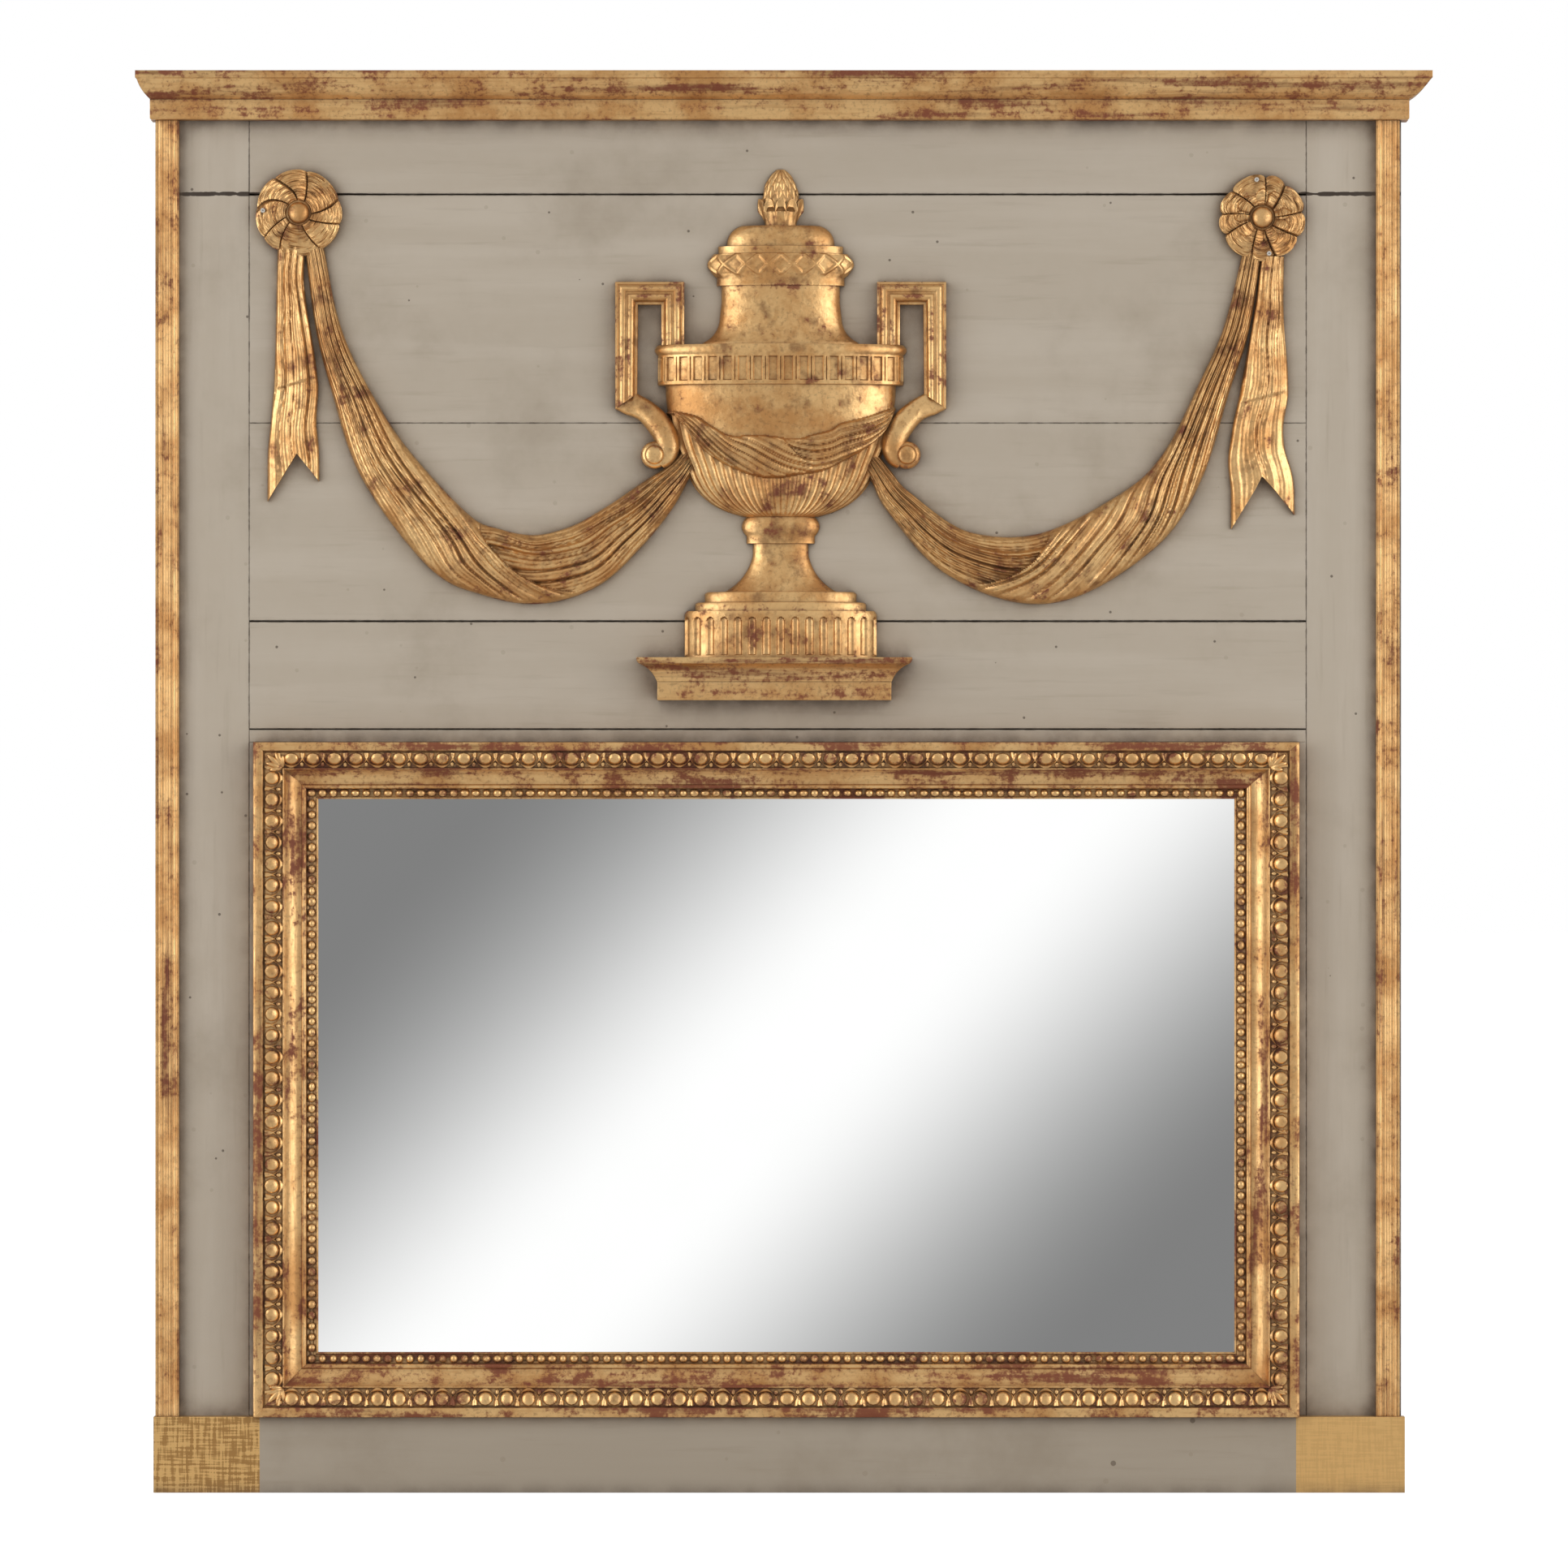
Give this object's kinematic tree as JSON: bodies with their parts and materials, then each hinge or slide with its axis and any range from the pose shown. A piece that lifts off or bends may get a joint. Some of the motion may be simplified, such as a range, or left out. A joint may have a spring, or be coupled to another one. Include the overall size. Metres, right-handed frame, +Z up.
{
  "type": "trumeau mirror",
  "caption": "Upright painted wall panel with a gilt cornice, a carved gilt urn and drapery swags over a wide rectangular mirror in an egg-and-pearl frame.",
  "frame": {"origin": "middle of the panel's width, on the wall plane, at the underside of the plinth", "axes": "+X to the right seen from the front, +Y into the wall (the front faces -Y), +Z up"},
  "size_m": [1.3666, 0.0917, 1.5],
  "materials": {
    "painted_wood": "matt grey-beige distemper paint, worn, dusty and crazed",
    "gilt_wood": "water gilding over red bole, burnished on the high parts and rubbed",
    "bare_wood": "planed and aged, unfinished",
    "silvered_glass": "polished, faintly clouded",
    "steel": "zinc-dulled with light tarnish"
  },
  "bodies": {
    "root": {"left_stile": "painted_wood", "right_stile": "painted_wood", "top_rail": "painted_wood", "upper_board": "painted_wood", "lower_board": "painted_wood", "middle_rail": "painted_wood", "packing_left": "painted_wood", "packing_right": "painted_wood", "packing_top": "painted_wood", "plinth_board": "painted_wood", "reeded_strip_left": "gilt_wood", "reeded_strip_right": "gilt_wood", "cornice_fascia": "gilt_wood", "cornice_crown": "gilt_wood", "fascia_return_left": "gilt_wood", "fascia_return_right": "gilt_wood", "crown_return_left": "gilt_wood", "crown_return_right": "gilt_wood", "frame_left": "gilt_wood", "frame_right": "gilt_wood", "frame_top": "gilt_wood", "frame_bottom": "gilt_wood", "bracket_shelf": "gilt_wood", "urn_drum": "gilt_wood", "urn_foot": "gilt_wood", "urn_bowl": "gilt_wood", "urn_neck": "gilt_wood", "urn_lid": "gilt_wood", "urn_finial": "gilt_wood", "handle_left": "gilt_wood", "handle_right": "gilt_wood", "swag_left": "gilt_wood", "swag_right": "gilt_wood", "ribbon_tail_left": "gilt_wood", "ribbon_tail_right": "gilt_wood", "rosette_left": "gilt_wood", "rosette_right": "gilt_wood", "bottom_rail": "bare_wood", "cornice_cap": "bare_wood", "batten_left": "bare_wood", "batten_right": "bare_wood", "batten_foot": "bare_wood", "mirror_backboard_1": "bare_wood", "mirror_backboard_2": "bare_wood", "mirror_backboard_3": "bare_wood", "mirror_backboard_4": "bare_wood", "frame_cleats": "bare_wood", "glazing_blocks": "bare_wood", "mirror_glass": "silvered_glass", "batten_screws": "steel", "cleat_screws": "steel", "hanger_screws": "steel", "hanger_strap_left": "steel", "hanger_strap_right": "steel"},
    "ring_left": {"hanger_ring_left": "steel"},
    "ring_right": {"hanger_ring_right": "steel"}
  },
  "joints": [
    {"name": "ring_left_swing", "type": "hinge", "parent": "root", "child": "ring_left", "pos_m": [-0.61, -0.0135, 1.27], "axis": [1, 0, 0], "range_deg": [0, 180]},
    {"name": "ring_right_swing", "type": "hinge", "parent": "root", "child": "ring_right", "pos_m": [0.61, -0.0135, 1.27], "axis": [1, 0, 0], "range_deg": [0, 180]}
  ]
}
